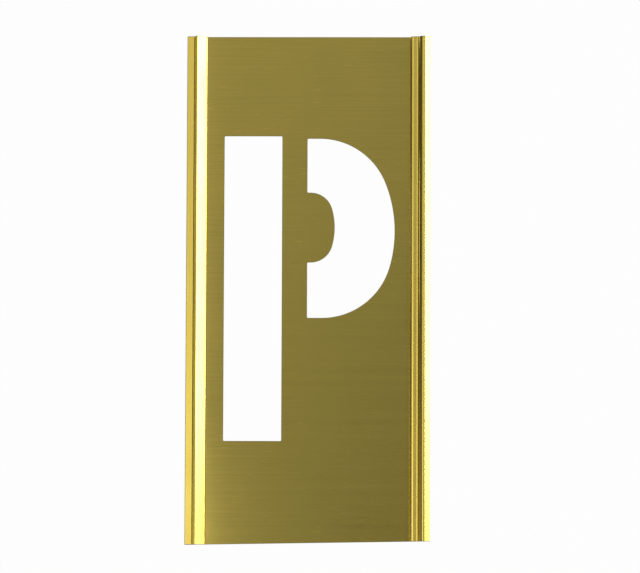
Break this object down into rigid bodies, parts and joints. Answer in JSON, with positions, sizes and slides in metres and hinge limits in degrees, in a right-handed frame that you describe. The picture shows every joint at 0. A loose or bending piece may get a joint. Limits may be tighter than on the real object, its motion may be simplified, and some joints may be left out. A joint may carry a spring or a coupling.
{
  "type": "lettering stencil",
  "caption": "Flat brass stencil plate with the openings of a capital letter P and a raised bead along each long edge that nests with the edge of a neighbouring plate.",
  "frame": {"origin": "middle of the plate on the surface that its flat back rests on", "axes": "+Z out of the face that takes the paint, +Y along the beads towards the top of the letter, +X to the right as the letter reads"},
  "size_m": [0.061, 0.127, 0.003],
  "materials": {
    "brushed_brass": "fine brushed grain across the plate, faint long streaks",
    "rolled_brass": "satin, rubbed bright by the forming rolls, faint lines along the bead"
  },
  "bodies": {
    "root": {"stencil_plate": "brushed_brass", "left_bead_slope": "rolled_brass", "left_bead_flank": "rolled_brass", "left_flange": "rolled_brass", "right_riser": "rolled_brass", "right_strip": "rolled_brass", "right_bead_flank": "rolled_brass", "right_bead_crown": "rolled_brass", "right_bead_slope": "rolled_brass"}
  },
  "joints": []
}
